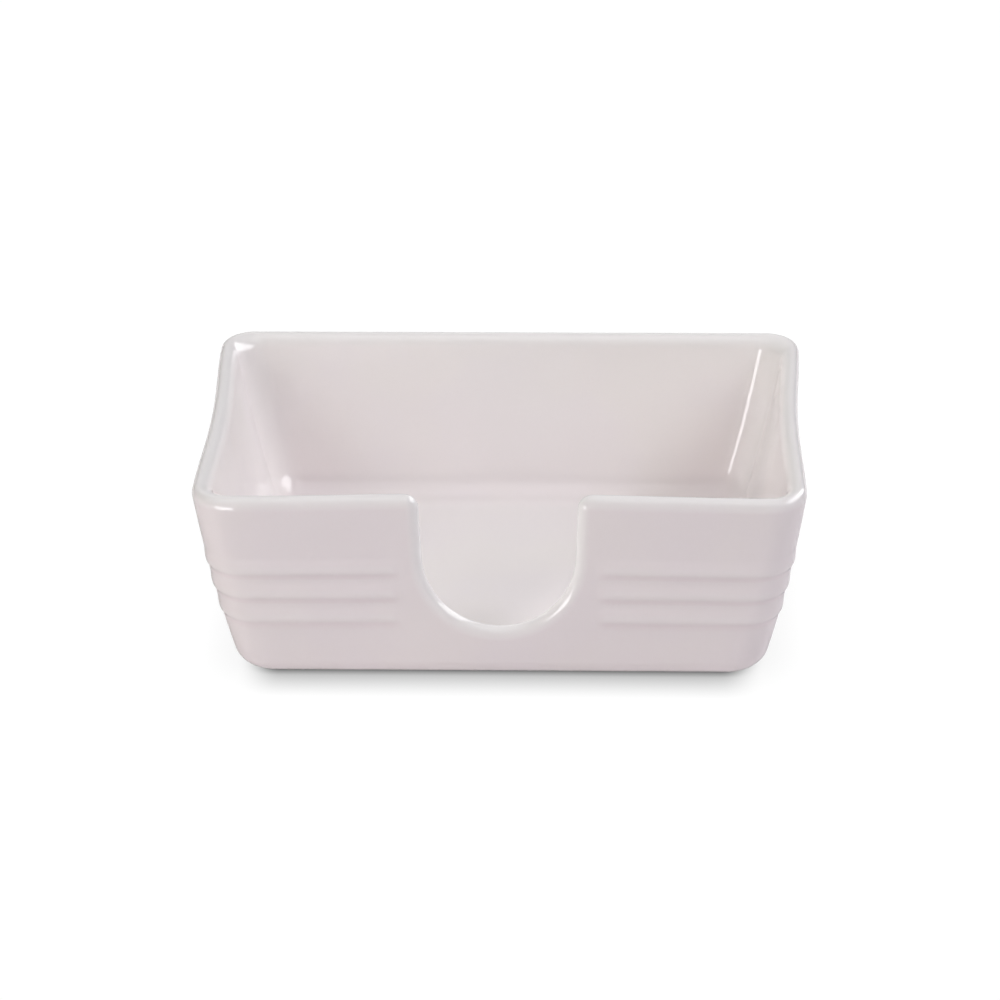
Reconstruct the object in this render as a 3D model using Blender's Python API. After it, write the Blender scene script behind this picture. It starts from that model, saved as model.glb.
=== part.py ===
"""Napkin holder: an open tub of glazed stoneware with a finger notch in its front wall.

The real object is one fired piece, so one closed body is built. Its wall is a loft: every column
of points runs from the recess under the foot, round the bottom edge, up the ribbed outer wall,
over the full-round lip and down the inside to the floor. Round the finger notch the columns fan
out, so that the same round lip follows the rim down one side of the notch and up the other.
Metres, +Z up, the front with the notch faces -Y, the origin is the middle of the foot.
"""
import math

import bpy
import numpy as np

# Outside sizes
LENGTH = 0.2200
DEPTH = 0.1430
HEIGHT = 0.0723
BASE_LENGTH = 0.1910
BASE_DEPTH = 0.1390
CORNER_RADIUS = 0.0136
SIDE_SWELL = 0.0012

# Wall, lip and floor; the inside tapers a little more than the outside
WALL = 0.0065
LIP_ROUND = 0.0047
SIDE_THICKENING = 0.0036
FRONT_THICKENING = 0.0005
CORNER_SOFTENING = 0.0015
FLOOR_THICKNESS = 0.0070
FLOOR_FILLET = 0.0060

# The rim is drawn in a little between the corners
FRONT_BOW = 0.0029
SIDE_BOW = 0.0017

# Foot: rounded bottom edge, bearing ring and the recess inside it
EDGE_RADIUS = 0.0060
FOOT_WIDTH = 0.0050
RECESS_DEPTH = 0.0025

# Finger notch, given along the line where its lip begins to turn over
NOTCH_TOP_WIDTH = 0.0664
NOTCH_WIDTH = 0.0648
NOTCH_ARC_HEIGHT = 0.0340
NOTCH_SILL = 0.0048
NOTCH_SHOULDER = 0.0006
NOTCH_SPREAD = 0.0130

# Three ribs wrapped round the wall, long above the crest and short below it, faded out beside the notch
RIB_COUNT = 3
RIB_PITCH = 0.00975
RIB_LOWEST = 0.0236
RIB_RISE = 0.0006
RIB_ABOVE = 0.0050
RIB_BELOW = 0.0034
RIB_MARGIN = 0.0035
RIB_FADE = 0.0045

# Fineness of the loft
ARC_STEPS = 12
NOTCH_SIDE_STEPS = 5
SHOULDER_STEPS = 5
RIM_STEPS = 7
CORNER_STEPS = 8
SIDE_STEPS = 6
BACK_STEPS = 9
ROWS_PER_PITCH = 6
LIP_STEPS = 8
INNER_STEPS = 5
FILLET_STEPS = 5
EDGE_STEPS = 4
FLAT_STEPS = 3

LIP_HEIGHT = HEIGHT - LIP_ROUND
FLOOR_TOP = RECESS_DEPTH + FLOOR_THICKNESS
NOTCH_BOTTOM = FLOOR_TOP + NOTCH_SILL
NOTCH_ARC_CENTRE = min(NOTCH_BOTTOM + NOTCH_ARC_HEIGHT, LIP_HEIGHT - NOTCH_SHOULDER - 0.004)
END_LEAN = (LENGTH - BASE_LENGTH) / 2 / LIP_HEIGHT
FRONT_LEAN = (DEPTH - BASE_DEPTH) / 2 / LIP_HEIGHT


def share(height):
    """How far up the wall a height lies: 0 at the foot, 1 where the lip begins."""
    return height / LIP_HEIGHT


def half_size(height, base, top, lean):
    """Half of a size at a height, along the middle of the wall; the leaning lip ends at the top size."""
    low = base / 2 - WALL / 2
    high = top / 2 - math.hypot(WALL / 2, LIP_ROUND * lean)
    return low + (high - low) * share(height)


def half_length(height):
    """Half of the tub's length at a height, along the middle of the wall."""
    swell = SIDE_SWELL * 4 * share(height) * (1 - share(height))
    return half_size(height, BASE_LENGTH, LENGTH, END_LEAN) + swell


def half_depth(height):
    """Half of the tub's depth at a height, along the middle of the wall."""
    return half_size(height, BASE_DEPTH, DEPTH, FRONT_LEAN)


def plan_point(wall, place, height, offset, inside=0.0):
    """Point of the wall's outline; offset is measured outwards from the middle of the wall.

    The share called inside adds the taper and the softer corners of the inner face.
    """
    inside = inside * (1 - share(height))
    radius = CORNER_RADIUS - WALL / 2 + CORNER_SOFTENING * inside
    reach_x = half_length(height) - SIDE_THICKENING * inside - radius
    reach_y = half_depth(height) - FRONT_THICKENING * inside - radius
    out = radius + offset
    draw_in = share(height) * (1 - place * place) ** 2
    if wall == "front":
        return np.array([place * reach_x, FRONT_BOW * draw_in - reach_y - out, height])
    if wall == "back":
        return np.array([-place * reach_x, reach_y + out, height])
    if wall == "right":
        return np.array([reach_x + out - SIDE_BOW * draw_in, place * reach_y, height])
    if wall == "left":
        return np.array([SIDE_BOW * draw_in - reach_x - out, -place * reach_y, height])
    side_x, side_y, start = CORNERS[wall]
    angle = start + place * math.pi / 2
    x = side_x * reach_x + out * math.cos(angle)
    y = side_y * reach_y + out * math.sin(angle)
    return np.array([x, y, height])


CORNERS = {
    "front right": (1, -1, -math.pi / 2),
    "back right": (1, 1, 0.0),
    "back left": (-1, 1, math.pi / 2),
    "front left": (-1, -1, math.pi),
}


def notch_edge():
    """Half of the notch from its lowest point to the level rim: x, height and lean of the edge."""
    points = []
    half = NOTCH_WIDTH / 2
    arc_height = NOTCH_ARC_CENTRE - NOTCH_BOTTOM
    for step in range(ARC_STEPS + 1):
        angle = step / ARC_STEPS * math.pi / 2
        x = half * math.sin(angle)
        lean = math.atan2(arc_height * math.sin(angle), half * math.cos(angle))
        points.append((x, NOTCH_ARC_CENTRE - arc_height * math.cos(angle), lean))
    top = LIP_HEIGHT - NOTCH_SHOULDER
    half_top = NOTCH_TOP_WIDTH / 2
    for step in range(1, NOTCH_SIDE_STEPS + 1):
        part = step / NOTCH_SIDE_STEPS
        height = NOTCH_ARC_CENTRE + (top - NOTCH_ARC_CENTRE) * part
        points.append((half + (half_top - half) * part, height, math.pi / 2))
    for step in range(1, SHOULDER_STEPS + 1):
        angle = step / SHOULDER_STEPS * math.pi / 2
        x = half_top + NOTCH_SHOULDER * (1 - math.cos(angle))
        points.append((x, top + NOTCH_SHOULDER * math.sin(angle), math.pi / 2 - angle))
    return points


def front_half():
    """Columns of the right half of the front wall: wall, place below, place at rim, rim height, lean."""
    edge = notch_edge()
    lengths = [0.0]
    for before, after in zip(edge, edge[1:]):
        lengths.append(lengths[-1] + math.dist(before[:2], after[:2]))
    radius = CORNER_RADIUS - WALL / 2
    base_reach = half_length(EDGE_RADIUS) - radius
    rim_reach = half_length(LIP_HEIGHT) - radius
    base_end = (edge[-1][0] + NOTCH_SPREAD) / base_reach
    columns = []
    for (x, height, lean), length in zip(edge, lengths):
        reach = half_length(height) - radius
        columns.append(("front", base_end * length / lengths[-1], x / reach, height, lean))
    rim_start = edge[-1][0] / rim_reach
    for step in range(1, RIM_STEPS):
        part = (step / RIM_STEPS) ** 1.4
        below = base_end + (1 - base_end) * part
        columns.append(("front", below, rim_start + (1 - rim_start) * part, LIP_HEIGHT, 0.0))
    return columns


def all_columns():
    """Every column of the loft, once round the tub from the middle of the notch."""
    right = front_half()
    columns = list(right)
    straight = (("right", SIDE_STEPS), ("back", BACK_STEPS), ("left", SIDE_STEPS))
    corners = ("front right", "back right", "back left", "front left")
    for number, corner in enumerate(corners):
        for step in range(CORNER_STEPS + 1):
            columns.append((corner, step / CORNER_STEPS, step / CORNER_STEPS, LIP_HEIGHT, 0.0))
        if number < len(straight):
            wall, steps = straight[number]
            for step in range(1, steps):
                place = 2 * step / steps - 1
                columns.append((wall, place, place, LIP_HEIGHT, 0.0))
    for wall, below, rim, height, lean in reversed(right[1:]):
        columns.append((wall, -below, -rim, height, -lean))
    return columns


def rib_rise(x, y, height):
    """How far a rib stands off the outer wall at a point."""
    rise = 0.0
    for number in range(RIB_COUNT):
        above = height - RIB_LOWEST - number * RIB_PITCH
        reach = RIB_ABOVE if above > 0 else RIB_BELOW
        if abs(above) < reach:
            rise += RIB_RISE * (1 + math.cos(math.pi * above / reach)) / 2
    if y > 0:
        return rise
    clear = NOTCH_TOP_WIDTH / 2 + RIB_MARGIN - RIB_FADE / 2
    fade = min(max((abs(x) - clear) / RIB_FADE, 0.0), 1.0)
    return rise * fade * fade * (3 - 2 * fade)


def wall_rows():
    """Heights of the loft's rows on the outer wall, closer together across the ribs."""
    step = RIB_PITCH / ROWS_PER_PITCH
    low = max(RIB_LOWEST - RIB_BELOW, EDGE_RADIUS + 0.003)
    high = min(RIB_LOWEST + (RIB_COUNT - 1) * RIB_PITCH + RIB_ABOVE, LIP_HEIGHT - 0.004)
    count = max(round((high - low) / step), 1)
    rows = list(np.linspace(EDGE_RADIUS, low, 4)[:-1])
    rows += list(np.linspace(low, high, count + 1))
    rows += list(np.linspace(high, LIP_HEIGHT, 5)[1:])
    return rows


def fanned(column, height, start):
    """Place and height of a row on a column whose rim may lie lower than the level rim."""
    wall, below, rim, rim_height, lean = column
    part = (height - start) / (LIP_HEIGHT - start)
    return below + (rim - below) * part, start + (rim_height - start) * part


def outer_ring(columns, height):
    """One row round the outer wall, with the ribs raised on it."""
    ring = []
    for column in columns:
        place, level = fanned(column, height, EDGE_RADIUS)
        middle = plan_point(column[0], place, level, 0.0)
        rise = rib_rise(middle[0], middle[1], level)
        ring.append(plan_point(column[0], place, level, WALL / 2 + rise))
    return ring


def fillet_size(column):
    """Radius of the inner fillet, which is smaller where the notch comes down to the floor."""
    return min(FLOOR_FILLET, 0.86 * (column[3] - FLOOR_TOP))


def inner_ring(columns, part):
    """One row round the inner wall, from the lip at 0 to the fillet at 1."""
    ring = []
    for column in columns:
        start = FLOOR_TOP + fillet_size(column)
        place, level = fanned(column, LIP_HEIGHT - (LIP_HEIGHT - start) * part, start)
        taper = 1.0 if column[3] == LIP_HEIGHT else part
        ring.append(plan_point(column[0], place, level, -WALL / 2, taper))
    return ring


def fillet_ring(columns, angle):
    """One row of the fillet between the inner wall and the floor."""
    ring = []
    for column in columns:
        radius = fillet_size(column)
        height = FLOOR_TOP + radius * (1 - math.sin(angle))
        inset = radius * (1 - math.cos(angle))
        ring.append(plan_point(column[0], column[1], height, -WALL / 2 - inset, 1.0))
    return ring


def lip_rings(columns):
    """The round lip that follows the rim and the notch, and leans as the wall under it does."""
    middle = np.array([plan_point(c[0], c[2], c[3], 0.0) for c in columns])
    outside = np.array([plan_point(c[0], c[2], c[3], WALL / 2) for c in columns])
    across = (outside - middle) / (WALL / 2)
    lean = np.array([c[4] for c in columns])
    off_wall = np.stack([-np.sin(lean), np.zeros(len(lean)), np.cos(lean)], axis=1)
    tilt = (END_LEAN * np.abs(across[:, 0]) + FRONT_LEAN * np.abs(across[:, 1])) * np.cos(lean)
    off_wall += tilt[:, None] * across
    rings = []
    for step in range(1, LIP_STEPS):
        angle = step / LIP_STEPS * math.pi
        out = WALL / 2 * math.cos(angle) * across
        rings.append(list(middle + out + LIP_ROUND * math.sin(angle) * off_wall))
    return rings


def flat_ring(columns, height, offset, inside=0.0):
    """A row below the wall or on the floor, where the columns keep their lower place."""
    return [plan_point(c[0], c[1], height, offset, inside) for c in columns]


def flat_rows(edge):
    """Rows that draw a flat face in from its edge towards the middle of the tub."""
    rows = []
    for step in range(FLAT_STEPS - 1, 0, -1):
        keep = step / FLAT_STEPS
        rows.append([p * np.array([keep, keep, 1.0]) for p in edge])
    return rows


def body_rings():
    """All rows of the loft, from the recess under the foot to the floor."""
    columns = all_columns()
    ring_outer = WALL / 2 - EDGE_RADIUS
    ring_inner = ring_outer - FOOT_WIDTH
    rings = []
    for level, drop in ((1.0, 1.6), (0.75, 1.0), (0.25, 0.5), (0.0, 0.0)):
        shifted = [p for p in flat_ring(columns, 0.0, ring_inner - RECESS_DEPTH * drop)]
        rings.append([p + np.array([0, 0, RECESS_DEPTH * level]) for p in shifted])
    for step in range(EDGE_STEPS):
        angle = step / EDGE_STEPS * math.pi / 2
        height = EDGE_RADIUS * (1 - math.cos(angle))
        rings.append(flat_ring(columns, height, ring_outer + EDGE_RADIUS * math.sin(angle)))
    for height in wall_rows():
        rings.append(outer_ring(columns, height))
    rings += lip_rings(columns)
    for step in range(INNER_STEPS + 1):
        rings.append(inner_ring(columns, step / INNER_STEPS))
    for step in range(1, FILLET_STEPS + 1):
        rings.append(fillet_ring(columns, step / FILLET_STEPS * math.pi / 2))
    return flat_rows(rings[0])[::-1] + rings + flat_rows(rings[-1])


def body_mesh(name):
    """Bridge the rows into one closed mesh; the recess and the floor close in the middle."""
    rings = body_rings()
    count = len(rings[0])
    points = [tuple(p) for ring in rings for p in ring]
    faces = []
    for row in range(len(rings) - 1):
        for here in range(count):
            after = (here + 1) % count
            low = row * count
            high = low + count
            faces.append((low + here, low + after, high + after, high + here))
    for row, step in ((0, -1), (len(rings) - 1, 1)):
        middle = len(points)
        points.append((0.0, 0.0, float(rings[row][0][2])))
        for here in range(count):
            faces.append((row * count + here, row * count + (here + step) % count, middle))
    mesh = bpy.data.meshes.new(name)
    mesh.from_pydata(points, [], faces)
    mesh.update()
    for polygon in mesh.polygons:
        polygon.use_smooth = True
    return mesh


def glaze():
    """Gloss glaze of a pale shell pink."""
    material = bpy.data.materials.new("shell_pink_glaze")
    material.use_nodes = True
    shader = material.node_tree.nodes["Principled BSDF"]
    shader.inputs["Base Color"].default_value = (0.78, 0.70, 0.71, 1.0)
    shader.inputs["Roughness"].default_value = 0.12
    shader.inputs["Metallic"].default_value = 0.0
    return material


def build():
    """Clear the scene and place the one fired piece."""
    for existing in list(bpy.data.objects):
        bpy.data.objects.remove(existing, do_unlink=True)
    mesh = body_mesh("stoneware_body")
    mesh.materials.append(glaze())
    body = bpy.data.objects.new("stoneware_body", mesh)
    bpy.context.scene.collection.objects.link(body)


build()
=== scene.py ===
"""Napkin holder of glazed stoneware: the dressed body, its glaze, the studio and the camera."""
import math

import bpy
from mathutils import Matrix, Vector


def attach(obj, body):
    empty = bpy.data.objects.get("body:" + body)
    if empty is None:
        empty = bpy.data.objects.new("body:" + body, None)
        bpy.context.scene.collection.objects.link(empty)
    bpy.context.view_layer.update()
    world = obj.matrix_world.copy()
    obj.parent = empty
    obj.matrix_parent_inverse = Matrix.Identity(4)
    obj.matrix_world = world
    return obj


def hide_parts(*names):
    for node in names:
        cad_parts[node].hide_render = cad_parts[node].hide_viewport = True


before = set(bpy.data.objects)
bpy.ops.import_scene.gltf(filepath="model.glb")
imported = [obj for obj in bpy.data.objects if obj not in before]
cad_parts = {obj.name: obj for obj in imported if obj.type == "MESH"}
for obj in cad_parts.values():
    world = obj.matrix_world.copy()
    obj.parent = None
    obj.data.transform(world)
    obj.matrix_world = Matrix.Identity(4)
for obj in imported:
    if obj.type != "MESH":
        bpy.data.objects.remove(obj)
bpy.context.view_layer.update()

# Sizes of the tub in metres, which are the inputs of its node tree
TUB_SIZES = {
    "length": 0.2200,
    "depth": 0.1430,
    "height": 0.0723,
    "base_length": 0.1910,
    "base_depth": 0.1390,
    "corner_radius": 0.0136,
    "side_swell": 0.0012,
    "wall": 0.0065,
    "lip_round": 0.0047,
    "side_thickening": 0.0036,
    "front_thickening": 0.0040,
    "front_curve": 0.0074,
    "inner_corner_top": 0.0045,
    "inner_corner_low": 0.0036,
    "floor_thickness": 0.0070,
    "floor_fillet": 0.0094,
    "front_bow": 0.0029,
    "side_bow": 0.0017,
    "edge_radius": 0.0060,
    "foot_width": 0.0050,
    "recess_depth": 0.0025,
    "notch_top_width": 0.0664,
    "notch_width": 0.0648,
    "notch_arc_height": 0.0340,
    "notch_sill": 0.0048,
    "notch_shoulder": 0.0006,
    "notch_spread": 0.0200,
    "rib_pitch": 0.00975,
    "rib_lowest": 0.0236,
    "rib_rise": 0.0006,
    "rib_above": 0.0058,
    "rib_below": 0.0026,
    "rib_margin": 0.0035,
    "rib_fade": 0.0045,
}
RIB_COUNT = 3

# Faces along half of the tub's outline, from the middle of the notch to the middle of the back
OUTLINE_STEPS = {
    "arc": 38,
    "notch_side": 14,
    "shoulder": 12,
    "rim": 28,
    "front_corner": 20,
    "end": 28,
    "back_corner": 20,
    "back": 28,
}

# Faces across the wall, from the middle of the recess to the middle of the floor
SECTION_STEPS = {
    "recess": 5,
    "recess_side": 8,
    "foot": 3,
    "edge": 10,
    "outside": 132,
    "lip": 30,
    "inside": 30,
    "fillet": 16,
    "floor": 10,
}
SEAM = 0.000002

# Shares that place the points of the loft
NOTCH_SHARE = 0.38
NOTCH_COLUMNS = (0.76, 0.18, 0.06)
FILLET_SHARE = 0.86
COVE_SHARE = 0.95
RECESS_SLOPE = 0.8

# Depths in metres: of the notch's sides, and over which the inner wall eases in under its lip
NOTCH_LEAST_SIDE = 0.004
NOTCH_EASING = 0.010
NOTCH_COVE = 0.009

# Where the glaze gathers under a rib, with painted shade there too, as shares of its underside, and
# where the inner glaze starts
POOL_AND_SHADE_RISE = (0.2, 0.8)
POOL_AND_SHADE_FALL = (0.9, 2.0)
INSIDE_LIP = (0.35, 0.75)

# Painted shade at the foot of the long inner walls, more of it in the corners, and where the corners
# start
WALL_SHADE = 0.60
NOOK_SHADE = 0.90
NOOK_START = 0.55

# Camera: angles in degrees, sizes in metres
CAMERA_HEIGHT_ANGLE = 27.5
CAMERA_SIDE_ANGLE = 2.341
CAMERA_ROLL = -0.796
CAMERA_DISTANCE = 1.6571
CAMERA_TARGET = (-0.001948, 0.0, 0.03587)
PIXELS_PER_METRE = 2684.0
IMAGE_WIDTH = 1000
SENSOR_WIDTH = 36.0
FARTHEST_SEEN = 50.0

# Every light is aimed at this place, in metres
AIM = (0.0, 0.0, 0.03)

# Square soft boxes: name, azimuth from the front towards the right, rise, strength, colour
BOX_DISTANCE = 1.6
BOX_SIZE = 0.5
COOL_LIGHT = (0.985, 0.985, 1.02)
WARM_LIGHT = (1.0, 0.99, 0.955)
WHITE_LIGHT = (1.0, 1.0, 1.0)
SOFT_BOXES = (
    ("back_box", 192, 30, 7.90, WHITE_LIGHT),
    ("back_upper_box", 150, 45, 2.80, WHITE_LIGHT),
    ("back_high_box", 150, 60, 1.40, WHITE_LIGHT),
    ("left_table_box", 300, 12, 4.55, WARM_LIGHT),
    ("left_front_low_box", 312, 30, 4.65, WARM_LIGHT),
    ("left_front_box", 312, 45, 1.85, WARM_LIGHT),
    ("left_box", 288, 45, 0.95, WARM_LIGHT),
    ("left_top_box", 315, 75, 0.60, WARM_LIGHT),
    ("top_box", 0, 75, 1.75, WHITE_LIGHT),
    ("right_box", 72, 45, 6.65, COOL_LIGHT),
    ("right_low_box", 72, 30, 2.60, COOL_LIGHT),
    ("right_side_box", 96, 45, 1.95, COOL_LIGHT),
)

# Lights seen only as highlights: name, azimuth, rise, distance, width, height, strength
GLINTS = (
    ("left_strip", 326, 7, 0.30, 0.125, 0.085, 0.24),
    ("right_window", 104, 37, 1.0, 1.6, 0.60, 19.0),
    ("top_sheet", 0, 70, 1.6, 1.5, 1.4, 8.5),
)

# Floor: sizes in metres, colours linear
FLOOR_REACH = 3.0
FLOOR_GAP = 0.001
FLOOR_SHADOW_REACH = 0.017
FLOOR_SHADOW_SAMPLES = 32
FLOOR_SHADOW_DEPTH = 0.88
FLOOR_SHADOW_ENDS = (0.080, 0.096)
FLOOR_SHADOW_FADE = 0.82
FLOOR_SHADE = (0.0, 0.0, 0.0, 1.0)
FLOOR_WHITE = (1.02, 1.02, 1.02, 1.0)
FLOOR_BOUNCE = (0.9, 0.9, 0.9, 1.0)
FLOOR_ROUGHNESS = 0.9

# Glaze: colours are linear, scales count per metre, height in metres
OUTER_PINK = (0.935, 0.850, 0.868, 1.0)
OUTER_LILAC = (0.928, 0.840, 0.870, 1.0)
INNER_PINK = (0.950, 0.912, 0.902, 1.0)
INNER_LILAC = (0.944, 0.903, 0.907, 1.0)
# Paler glaze on the lip and the rib crests: partly thinner glaze, partly painted light on their tops
THIN_AND_LIT_PINK = (0.998, 0.976, 0.974, 1.0)
# Tint of the glaze gathered under the ribs and in the floor fillet, partly painted shade, and of the
# painted shade on the inner walls
GATHERED_AND_SHADE_TINT = (0.970, 0.940, 0.950, 1.0)
# Painted shade on the outer ends of the tub
PAINTED_END_SHADE = (0.82, 0.81, 0.81, 1.0)
SPECK_TINT = (0.90, 0.85, 0.84, 1.0)
CLAY_DARK = (0.60, 0.52, 0.45, 1.0)
CLAY_LIGHT = (0.72, 0.65, 0.57, 1.0)
BLOTCHES = 26.0
SPECKS = 1400.0
WAVES = 48.0
PEEL = 900.0
CLAY_GRAIN = 2200.0
BARE_EDGE = 160.0
WAVE_HEIGHT = 0.00006
GLAZE_INDEX = 1.5

# Glaze: how rough it is, and how much blotches, specks and bare clay add
GLAZE_ROUGHNESS = 0.045
BLOTCH_ROUGHNESS = 0.012
SPECK_ROUGHNESS = 0.03
CLAY_ROUGHNESS = 0.72

# Glaze: how strong each tint and each unevenness is
# Strength of the darkening under the ribs: partly gathered glaze, partly painted shade
POOL_AND_SHADE_STRENGTH = 0.65
# Paler lip and rib crests: partly thinner glaze, partly painted light on their tops
LIP_TINT = 0.90
CREST_TINT = 0.10
SPARED_LIP = 0.60
SPECK_SHARE = 0.10
PEEL_SHARE = 0.02
GRAIN_SHARE = 0.60

# Glaze: from and to which value a pattern or a mark takes effect
BLOTCH_RANGE = (0.36, 0.64)
SPECK_RANGE = (0.60, 0.74)
GRAIN_RANGE = (0.35, 0.65)
CREST_RANGE = (0.50, 1.00)
BARE_START = (0.82, 0.90)
BARE_END = (2.10, 2.18)
BARE_UNEVEN = 0.25


class Field:
    """A socket of a node tree. Arithmetic on fields adds Math nodes."""

    def __init__(self, tree, socket=None):
        self.tree = tree
        self.socket = socket

    def node(self, kind, settings=None, sockets=None, output=0):
        """Add one node: its type, its settings, then the values or links of its sockets."""
        made = self.tree.nodes.new(kind)
        for name, value in (settings or {}).items():
            setattr(made, name, value)
        for name, value in (sockets or {}).items():
            if isinstance(value, Field):
                self.tree.links.new(value.socket, made.inputs[name])
            else:
                made.inputs[name].default_value = value
        return Field(self.tree, made.outputs[output] if made.outputs else None)

    def out(self, number):
        """Another output of the same node."""
        return Field(self.tree, self.socket.node.outputs[number])

    def math(self, operation, *values):
        """A Math node on these values."""
        return self.node("ShaderNodeMath", {"operation": operation}, dict(enumerate(values)))

    def __add__(self, other):
        return self.math("ADD", self, other)

    __radd__ = __add__

    def __sub__(self, other):
        return self.math("SUBTRACT", self, other)

    def __rsub__(self, other):
        return self.math("SUBTRACT", other, self)

    def __mul__(self, other):
        return self.math("MULTIPLY", self, other)

    __rmul__ = __mul__

    def __truediv__(self, other):
        return self.math("DIVIDE", self, other)

    def __pow__(self, other):
        return self.math("POWER", self, other)

    def __neg__(self):
        return self.math("MULTIPLY", self, -1.0)

    def __gt__(self, other):
        return self.math("GREATER_THAN", self, other)

    def __lt__(self, other):
        return self.math("LESS_THAN", self, other)

    def sine(self):
        return self.math("SINE", self)

    def cosine(self):
        return self.math("COSINE", self)

    def least(self, other):
        return self.math("MINIMUM", self, other)

    def most(self, other):
        return self.math("MAXIMUM", self, other)

    def between(self, low, high, smooth=False):
        """0 at low and below, 1 at high and above."""
        settings = {"interpolation_type": "SMOOTHSTEP" if smooth else "LINEAR"}
        return self.node("ShaderNodeMapRange", settings, {0: self, 1: low, 2: high})

    def mix_colour(self, low, high, blend="MIX"):
        """The first colour where this field is 0, the second where it is 1."""
        settings = {"data_type": "RGBA", "blend_type": blend}
        return self.node("ShaderNodeMix", settings, {0: self, 6: low, 7: high}, 2)


def stages(place, steps):
    """Split a place along a line of faces into one field per stretch, each running from 0 to 1."""
    found = {}
    start = 0
    for name, count in steps.items():
        found[name] = place.between(start, start + count)
        start += count
    return found


def tub_measures(size):
    """Sizes that follow from the named inputs, and the tub's half length and half depth."""
    lip_height = size["height"] - size["lip_round"]
    floor_top = size["recess_depth"] + size["floor_thickness"]
    notch_bottom = floor_top + size["notch_sill"]
    highest_arc = lip_height - size["notch_shoulder"] - NOTCH_LEAST_SIDE
    measures = {
        "half_wall": size["wall"] / 2,
        "lip_height": lip_height,
        "floor_top": floor_top,
        "notch_bottom": notch_bottom,
        "arc_centre": (notch_bottom + size["notch_arc_height"]).least(highest_arc),
        "radius": size["corner_radius"] - size["wall"] / 2,
        "end_lean": (size["length"] - size["base_length"]) / 2 / lip_height,
        "front_lean": (size["depth"] - size["base_depth"]) / 2 / lip_height,
    }

    def half(base, top, lean, swell):
        lip = (measures["half_wall"] ** 2 + (size["lip_round"] * measures[lean]) ** 2) ** 0.5
        low = size[base] / 2 - measures["half_wall"]
        high = size[top] / 2 - lip

        def at(height):
            up = height / lip_height
            return low + (high - low) * up + swell * 4 * up * (1 - up)
        return at

    measures["half_length"] = half("base_length", "length", "end_lean", size["side_swell"])
    measures["half_depth"] = half("base_depth", "depth", "front_lean", 0.0)
    return measures


def notch_rim(size, made, along):
    """The line of the rim: place along the front at rim and base, height and lean of the lip."""
    arc = along["arc"] * (math.pi / 2)
    turn = along["shoulder"] * (math.pi / 2)
    half = size["notch_width"] / 2
    top_half = size["notch_top_width"] / 2
    arc_height = made["arc_centre"] - made["notch_bottom"]
    top = made["lip_height"] - size["notch_shoulder"]
    side = along["notch_side"]
    edge_x = half * arc.sine() + (top_half - half) * side
    edge_x = edge_x + size["notch_shoulder"] * (1 - turn.cosine())
    height = made["arc_centre"] - arc_height * arc.cosine()
    height = height + (top - made["arc_centre"]) * side + size["notch_shoulder"] * turn.sine()
    edge_end = top_half + size["notch_shoulder"]
    rim_reach = made["half_length"](made["lip_height"]) - made["radius"]
    base_reach = made["half_length"](size["edge_radius"]) - made["radius"]
    base_end = (edge_end + size["notch_spread"]) / base_reach
    rim_x = edge_x + (rim_reach - edge_end) * along["rim"]
    at_rim = rim_x / (made["half_length"](height) - made["radius"])
    arc_share, side_share, shoulder_share = NOTCH_COLUMNS
    notch_share = along["arc"] * arc_share + side * side_share + along["shoulder"] * shoulder_share
    at_base = base_end * notch_share + (1 - base_end) * along["rim"]
    lean = arc.math("ARCTAN2", arc_height * arc.sine(), half * arc.cosine()) - turn
    return at_rim, at_base, height, lean


def rib_share(size, height, side_x, side_y):
    """How far a rib stands off the outer wall, and the darkening under it, as shares: partly gathered
    glaze, partly painted shade.
    """
    shift = size["rib_lowest"] + (size["rib_above"] - size["rib_below"]) / 2
    number = height.math("ROUND", (height - shift) / size["rib_pitch"])
    number = number.most(0).least(RIB_COUNT - 1)
    above = height - size["rib_lowest"] - number * size["rib_pitch"]
    below = -above / size["rib_below"]
    away = (above / size["rib_above"]).most(below).least(1)
    rise = ((away * math.pi).cosine() + 1) / 2
    clear = size["notch_top_width"] / 2 + size["rib_margin"] - size["rib_fade"] / 2
    fade = side_x.between(clear, clear + size["rib_fade"], True)
    fade = fade.most(side_y > 0)
    pool_and_shade = below.between(*POOL_AND_SHADE_RISE, True) * (1 - below.between(*POOL_AND_SHADE_FALL, True))
    return rise * fade, pool_and_shade * fade


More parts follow.
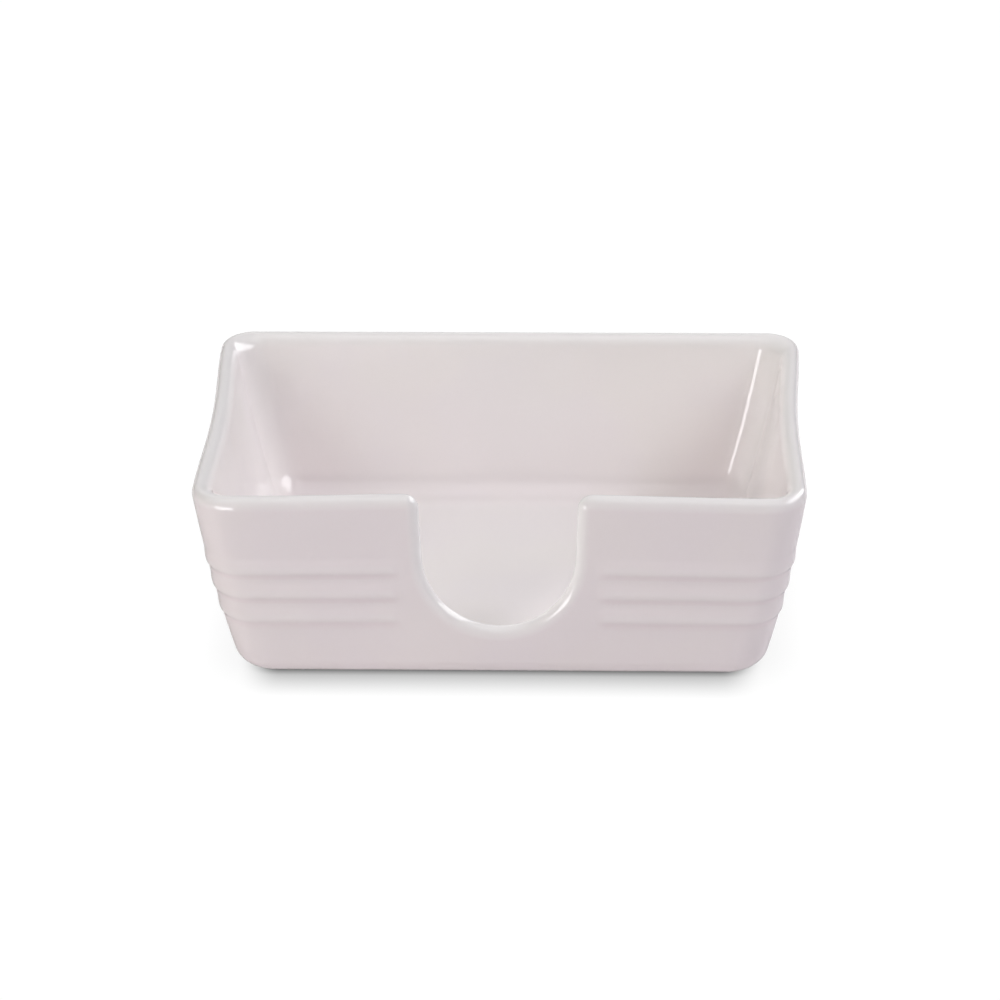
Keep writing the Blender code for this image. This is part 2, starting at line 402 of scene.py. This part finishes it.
def tub_points(size, column, row):
    """Place of every point of the tub, and the fields that its glaze reads."""
    made = tub_measures(size)
    half_count = sum(OUTLINE_STEPS.values())
    quarter = math.pi / 2
    folded = column.least(2 * half_count - column)
    side_sign = 1 - 2 * (column > half_count)
    along = stages(folded, OUTLINE_STEPS)
    up = stages(row, SECTION_STEPS)
    at_rim, at_base, rim_height, lean = notch_rim(size, made, along)

    # Height, place along the front and offset from the middle of the wall
    fillet = size["floor_fillet"].least((rim_height - made["floor_top"]) * FILLET_SHARE)
    fillet_top = made["floor_top"] + fillet
    recess_side = up["recess_side"].between(0, 1, True)
    edge_turn = up["edge"] * quarter
    lip_turn = up["lip"] * math.pi
    fillet_turn = up["fillet"] * quarter
    height = size["recess_depth"] * (1 - recess_side)
    height = height + size["edge_radius"] * (1 - edge_turn.cosine())
    height = height + (rim_height - size["edge_radius"]) * up["outside"]
    height = height + (fillet_top - rim_height) * up["inside"]
    height = height - fillet * fillet_turn.sine()
    place = at_base + (at_rim - at_base) * (up["outside"] - up["inside"])
    share = height / made["lip_height"]
    lip_rise = size["lip_round"] * lip_turn.sine()
    level = rim_height.between(made["lip_height"] - NOTCH_EASING, made["lip_height"], True)
    cove = ((rim_height - made["floor_top"]) * COVE_SHARE).least(NOTCH_COVE)
    inside = level + (rim_height - height).between(0, cove, True) * (1 - level)
    inside = inside * (1 - (height + lip_rise * lean.cosine()) / size["height"]) * (up["lip"] > 0.5)
    offset = made["half_wall"] - size["edge_radius"] - size["foot_width"]
    offset = offset - size["recess_depth"] * RECESS_SLOPE * (1 - up["recess_side"])
    offset = offset + size["foot_width"] * up["foot"] + size["edge_radius"] * edge_turn.sine()
    offset = offset + made["half_wall"] * (lip_turn.cosine() - 1)
    offset = offset - fillet * (1 - fillet_turn.cosine())

    # Outline of the tub at that height
    easing = size["inner_corner_low"]
    easing = easing + (size["inner_corner_top"] - easing) * share
    easing = easing * up["lip"].between(0.5, 1.0, True)
    radius = made["radius"] + easing
    reach_x = made["half_length"](height) - made["radius"]
    front_share = (size["front_thickening"] + size["front_curve"] * inside) * inside
    reach_y = made["half_depth"](height) - front_share - radius
    first_turn = along["front_corner"] * quarter
    second_turn = along["back_corner"] * quarter
    facing_x = first_turn.sine() - 1 + second_turn.cosine()
    facing_y = second_turn.sine() - first_turn.cosine()
    end_place = along["end"] * 2 - 1
    front_bow = size["front_bow"] * share * (1 - place * place) ** 2
    side_bow = size["side_bow"] * share * (1 - end_place * end_place) ** 2
    line = place - along["back"]
    drawn_in = (size["side_thickening"] * inside + easing) * line.between(NOTCH_SHARE, 1)
    middle_x = reach_x * line - drawn_in + radius * facing_x - side_bow
    middle_y = reach_y * end_place + radius * facing_y + front_bow
    rib, pool_and_shade = rib_share(size, height, middle_x, middle_y)
    outer_wall = (up["lip"] < 0.0001) * (up["outside"] > 0.0001)
    rib = rib * outer_wall
    offset = offset + size["rib_rise"] * rib

    # The lip stands off the rim and leans with the wall, and the flat faces draw in to their middle
    facing_front = facing_y.math("ABSOLUTE", facing_y)
    tilt = (made["end_lean"] * facing_x + made["front_lean"] * facing_front) * lean.cosine()
    offset = offset + lip_rise * tilt
    keep = up["recess"] * (1 - up["floor"])
    x = (middle_x + offset * facing_x - lip_rise * lean.sine()) * keep * side_sign
    y = (middle_y + offset * facing_y) * keep
    z = height + lip_rise * lean.cosine()
    end_share = facing_x * facing_x
    end_reach = end_place.math("ABSOLUTE", end_place)
    nook = line.between(NOOK_START, 1, True) * end_reach.between(NOOK_START, 1, True)
    # Painted shade on the inner walls: darker towards the floor, more in the corners
    painted_wall_shade_share = (1 - share) * (1 - up["fillet"]) * (WALL_SHADE + NOOK_SHADE * nook)
    marks = {
        "rib": rib,
        "painted_wall_shade": painted_wall_shade_share * (up["lip"] > 0.5) * (1 - end_share),
        # Darker under the ribs and in the floor fillet: partly gathered glaze, partly painted shade
        "pool_and_shade": (pool_and_shade * outer_wall).most((up["fillet"] * math.pi).sine()),
        "lip": lip_turn.sine(),
        # Where the painted shade of the outer ends lies
        "end": end_share * up["edge"],
        "inside": up["lip"].between(*INSIDE_LIP, True),
        "foot": up["recess_side"] + up["foot"] + up["edge"],
    }
    return x.node("ShaderNodeCombineXYZ", None, {0: x, 1: y, 2: z}), marks


def tub_tree(material):
    """Node tree that lofts the tub from a grid: columns round its outline, rows across its wall."""
    tree = bpy.data.node_groups.new("tub_loft", "GeometryNodeTree")
    tree.interface.new_socket("Geometry", in_out="OUTPUT", socket_type="NodeSocketGeometry")
    for name in TUB_SIZES:
        tree.interface.new_socket(name, in_out="INPUT", socket_type="NodeSocketFloat")
    given = tree.nodes.new("NodeGroupInput")
    size = {name: Field(tree, given.outputs[name]) for name in TUB_SIZES}
    columns = 2 * sum(OUTLINE_STEPS.values())
    rows = sum(SECTION_STEPS.values())
    start = Field(tree)
    sheet = {"Vertices X": columns + 1, "Vertices Y": rows + 1, "Size X": columns, "Size Y": rows}
    grid = start.node("GeometryNodeMeshGrid", None, sheet)
    spot = start.node("ShaderNodeSeparateXYZ", None, {0: start.node("GeometryNodeInputPosition")})
    place, marks = tub_points(size, spot + columns / 2, spot.out(1) + rows / 2)
    body = grid
    for name, value in marks.items():
        settings = {"data_type": "FLOAT", "domain": "POINT"}
        sockets = {"Geometry": body, "Name": name, "Value": value}
        body = body.node("GeometryNodeStoreNamedAttribute", settings, sockets)
    body = body.node("GeometryNodeSetPosition", None, {"Geometry": body, "Position": place})
    body = body.node("GeometryNodeMergeByDistance", None, {"Geometry": body, "Distance": SEAM})
    body = body.node("GeometryNodeSetShadeSmooth", None, {"Geometry": body})
    body = body.node("GeometryNodeRealizeInstances", None, {"Geometry": body})
    body = body.node("GeometryNodeSetMaterial", None, {"Geometry": body, "Material": material})
    body.node("NodeGroupOutput", None, {0: body})
    return tree


def plain_piece(name, tree, sizes):
    """Run a node tree with these sizes and keep its result as a plain mesh at the origin."""
    maker = bpy.data.objects.new(name + "_maker", bpy.data.meshes.new(name + "_maker"))
    bpy.context.scene.collection.objects.link(maker)
    modifier = maker.modifiers.new("loft", "NODES")
    modifier.node_group = tree
    for item in tree.interface.items_tree:
        if item.in_out == "INPUT":
            modifier[item.identifier] = sizes[item.name]
    evaluated = maker.evaluated_get(bpy.context.evaluated_depsgraph_get())
    mesh = bpy.data.meshes.new_from_object(evaluated)
    mesh.name = name
    while mesh.materials[0] is None:
        mesh.materials.pop(index=0)
    maker.modifiers.remove(modifier)
    bpy.data.objects.remove(maker, do_unlink=True)
    piece = bpy.data.objects.new(name, mesh)
    bpy.context.scene.collection.objects.link(piece)
    return piece


def glaze_material():
    """Gloss glaze of a pale shell pink, paler on the lip and rib crests (thinner glaze and painted
    light), darker under the ribs and in the fillet (gathered glaze and painted shade), with painted
    shade on the outer ends and inner walls.
    """
    material = bpy.data.materials.new("shell_pink_glaze")
    material.use_nodes = True
    tree = material.node_tree
    tree.nodes.clear()
    start = Field(tree)
    place = start.node("ShaderNodeTexCoord", None, None, 3)

    def mark(name):
        return start.node("ShaderNodeAttribute", {"attribute_name": name}, None, 2)

    def cloud(scale, detail=2.0):
        sockets = {"Vector": place, "Scale": scale, "Detail": detail}
        return start.node("ShaderNodeTexNoise", None, sockets)

    blotch = cloud(BLOTCHES).between(*BLOTCH_RANGE, True)
    speck = cloud(SPECKS).between(*SPECK_RANGE)
    wave = cloud(WAVES, 1.0)
    peel = cloud(PEEL, 1.0)
    grain = cloud(CLAY_GRAIN)

    # Bare clay on the foot ring, with an uneven edge to the glaze
    foot = mark("foot") + (cloud(BARE_EDGE) - 0.5) * BARE_UNEVEN
    bare = foot.between(*BARE_START) * (1 - foot.between(*BARE_END))

    outer = blotch.mix_colour(OUTER_PINK, OUTER_LILAC)
    inner = blotch.mix_colour(INNER_PINK, INNER_LILAC)
    colour = mark("inside").mix_colour(outer, inner)
    # Darker under the ribs and in the floor fillet: partly gathered glaze, partly painted shade
    colour = (mark("pool_and_shade") * POOL_AND_SHADE_STRENGTH).mix_colour(colour, GATHERED_AND_SHADE_TINT, "MULTIPLY")
    # Painted shade at the foot and in the corners of the inner walls
    colour = mark("painted_wall_shade").mix_colour(colour, GATHERED_AND_SHADE_TINT, "MULTIPLY")
    # Paler on the lip and rib crests: partly thinner glaze, partly painted light
    thin_and_lit = (mark("lip") * LIP_TINT).most(mark("rib").between(*CREST_RANGE, True) * CREST_TINT)
    colour = thin_and_lit.mix_colour(colour, THIN_AND_LIT_PINK)
    # Painted shade on the outer ends, less of it on the lip
    end = mark("end") * (1 - mark("inside")) * (1 - mark("lip") * SPARED_LIP)
    colour = end.mix_colour(colour, PAINTED_END_SHADE, "MULTIPLY")
    colour = (speck * SPECK_SHARE).mix_colour(colour, SPECK_TINT, "MULTIPLY")
    clay = grain.between(*GRAIN_RANGE).mix_colour(CLAY_DARK, CLAY_LIGHT)
    colour = bare.mix_colour(colour, clay)

    gloss = GLAZE_ROUGHNESS + blotch * BLOTCH_ROUGHNESS + speck * SPECK_ROUGHNESS
    rough = gloss + bare * (CLAY_ROUGHNESS - gloss)
    height = wave + (peel - 0.5) * PEEL_SHARE + bare * (grain - 0.5) * GRAIN_SHARE
    sockets = {"Strength": 1.0, "Distance": WAVE_HEIGHT, "Height": height}
    bump = start.node("ShaderNodeBump", None, sockets)
    sockets = {"Base Color": colour, "Roughness": rough, "Normal": bump, "IOR": GLAZE_INDEX}
    shader = start.node("ShaderNodeBsdfPrincipled", None, sockets)
    shader.node("ShaderNodeOutputMaterial", None, {"Surface": shader})
    return material


def floor_plane(name, material, height):
    """One wide plane under the tub, which is no part of the object."""
    corners = []
    for x, y in ((-1, -1), (1, -1), (1, 1), (-1, 1)):
        corners.append((x * FLOOR_REACH, y * FLOOR_REACH, height))
    mesh = bpy.data.meshes.new(name)
    mesh.from_pydata(corners, [], [(0, 1, 2, 3)])
    mesh.materials.append(material)
    ground = bpy.data.objects.new(name, mesh)
    bpy.context.scene.collection.objects.link(ground)
    return ground


def floor():
    """White floor that glows, with a painted soft shadow where the tub stands, and the plane that
    throws light back.
    """
    white = bpy.data.materials.new("studio_white")
    white.use_nodes = True
    white.node_tree.nodes.clear()
    start = Field(white.node_tree)
    settings = {"samples": FLOOR_SHADOW_SAMPLES}
    # Painted shadow: ambient occlusion darkens the glowing floor near the tub, less of it beside the
    # ends
    open_air = start.node("ShaderNodeAmbientOcclusion", settings, {"Distance": FLOOR_SHADOW_REACH}, 1)
    place = start.node("ShaderNodeTexCoord", None, None, 3)
    spot = start.node("ShaderNodeSeparateXYZ", None, {0: place})
    beside = spot.math("ABSOLUTE", spot).between(*FLOOR_SHADOW_ENDS, True)
    bright = 1 - (1 - open_air) * FLOOR_SHADOW_DEPTH * (1 - beside * FLOOR_SHADOW_FADE)
    shade = bright.mix_colour(FLOOR_SHADE, FLOOR_WHITE)
    glow = start.node("ShaderNodeEmission", None, {"Color": shade})
    glow.node("ShaderNodeOutputMaterial", None, {"Surface": glow})
    seen = floor_plane("studio_floor", white, 0.0)
    seen.visible_diffuse = False
    seen.visible_glossy = False
    seen.visible_shadow = False
    paper = bpy.data.materials.new("studio_paper")
    paper.use_nodes = True
    shader = paper.node_tree.nodes["Principled BSDF"]
    shader.inputs["Base Color"].default_value = FLOOR_BOUNCE
    shader.inputs["Roughness"].default_value = FLOOR_ROUGHNESS
    thrower = floor_plane("studio_floor_bounce", paper, -FLOOR_GAP)
    thrower.visible_camera = False


def camera():
    """Long lens at the height and turn of the photograph."""
    rise = math.radians(CAMERA_HEIGHT_ANGLE)
    side = math.radians(CAMERA_SIDE_ANGLE)
    roll = math.radians(CAMERA_ROLL)
    back = Vector((math.sin(side) * math.cos(rise), -math.cos(side) * math.cos(rise), math.sin(rise)))
    level = Vector((math.cos(side), math.sin(side), 0.0))
    upright = back.cross(level)
    right = level * math.cos(roll) + upright * math.sin(roll)
    up = upright * math.cos(roll) - level * math.sin(roll)
    place = Vector(CAMERA_TARGET) + back * CAMERA_DISTANCE
    lens = bpy.data.cameras.new("photo_camera")
    lens.sensor_width = SENSOR_WIDTH
    lens.lens = PIXELS_PER_METRE * CAMERA_DISTANCE * SENSOR_WIDTH / IMAGE_WIDTH
    lens.clip_end = FARTHEST_SEEN
    seen = bpy.data.objects.new("photo_camera", lens)
    turned = Matrix((right, up, back)).transposed().to_4x4()
    seen.matrix_world = Matrix.Translation(place) @ turned
    bpy.context.scene.collection.objects.link(seen)
    bpy.context.scene.camera = seen


def soft_box(name, azimuth, rise, distance, width, height, strength):
    """Soft box aimed at the tub; azimuth counts from the front towards the right."""
    turn = math.radians(azimuth)
    lift = math.radians(rise)
    level = distance * math.cos(lift)
    place = Vector((level * math.sin(turn), -level * math.cos(turn), distance * math.sin(lift)))
    light = bpy.data.lights.new(name, "AREA")
    light.shape = "RECTANGLE"
    light.size = width
    light.size_y = height
    light.energy = strength
    lamp = bpy.data.objects.new(name, light)
    lamp.location = place
    lamp.rotation_euler = (Vector(AIM) - place).to_track_quat("-Z", "Y").to_euler()
    bpy.context.scene.collection.objects.link(lamp)
    return lamp


def studio():
    """Plain soft light."""
    world = bpy.data.worlds.new("studio_air")
    world.use_nodes = True
    world.node_tree.nodes["Background"].inputs["Color"].default_value = (1.0, 1.0, 1.0, 1.0)
    world.node_tree.nodes["Background"].inputs["Strength"].default_value = 0.0
    bpy.context.scene.world = world
    bpy.context.scene.view_settings.view_transform = "Standard"
    for name, azimuth, rise, strength, colour in SOFT_BOXES:
        lamp = soft_box(name, azimuth, rise, BOX_DISTANCE, BOX_SIZE, BOX_SIZE, strength)
        lamp.data.color = colour
        lamp.visible_glossy = False
    for name, azimuth, rise, distance, width, height, strength in GLINTS:
        glint = soft_box(name, azimuth, rise, distance, width, height, strength)
        glint.visible_diffuse = False


camera()
floor()
studio()
tub = plain_piece("stoneware_tub", tub_tree(glaze_material()), TUB_SIZES)
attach(tub, "root")
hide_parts("stoneware_body")
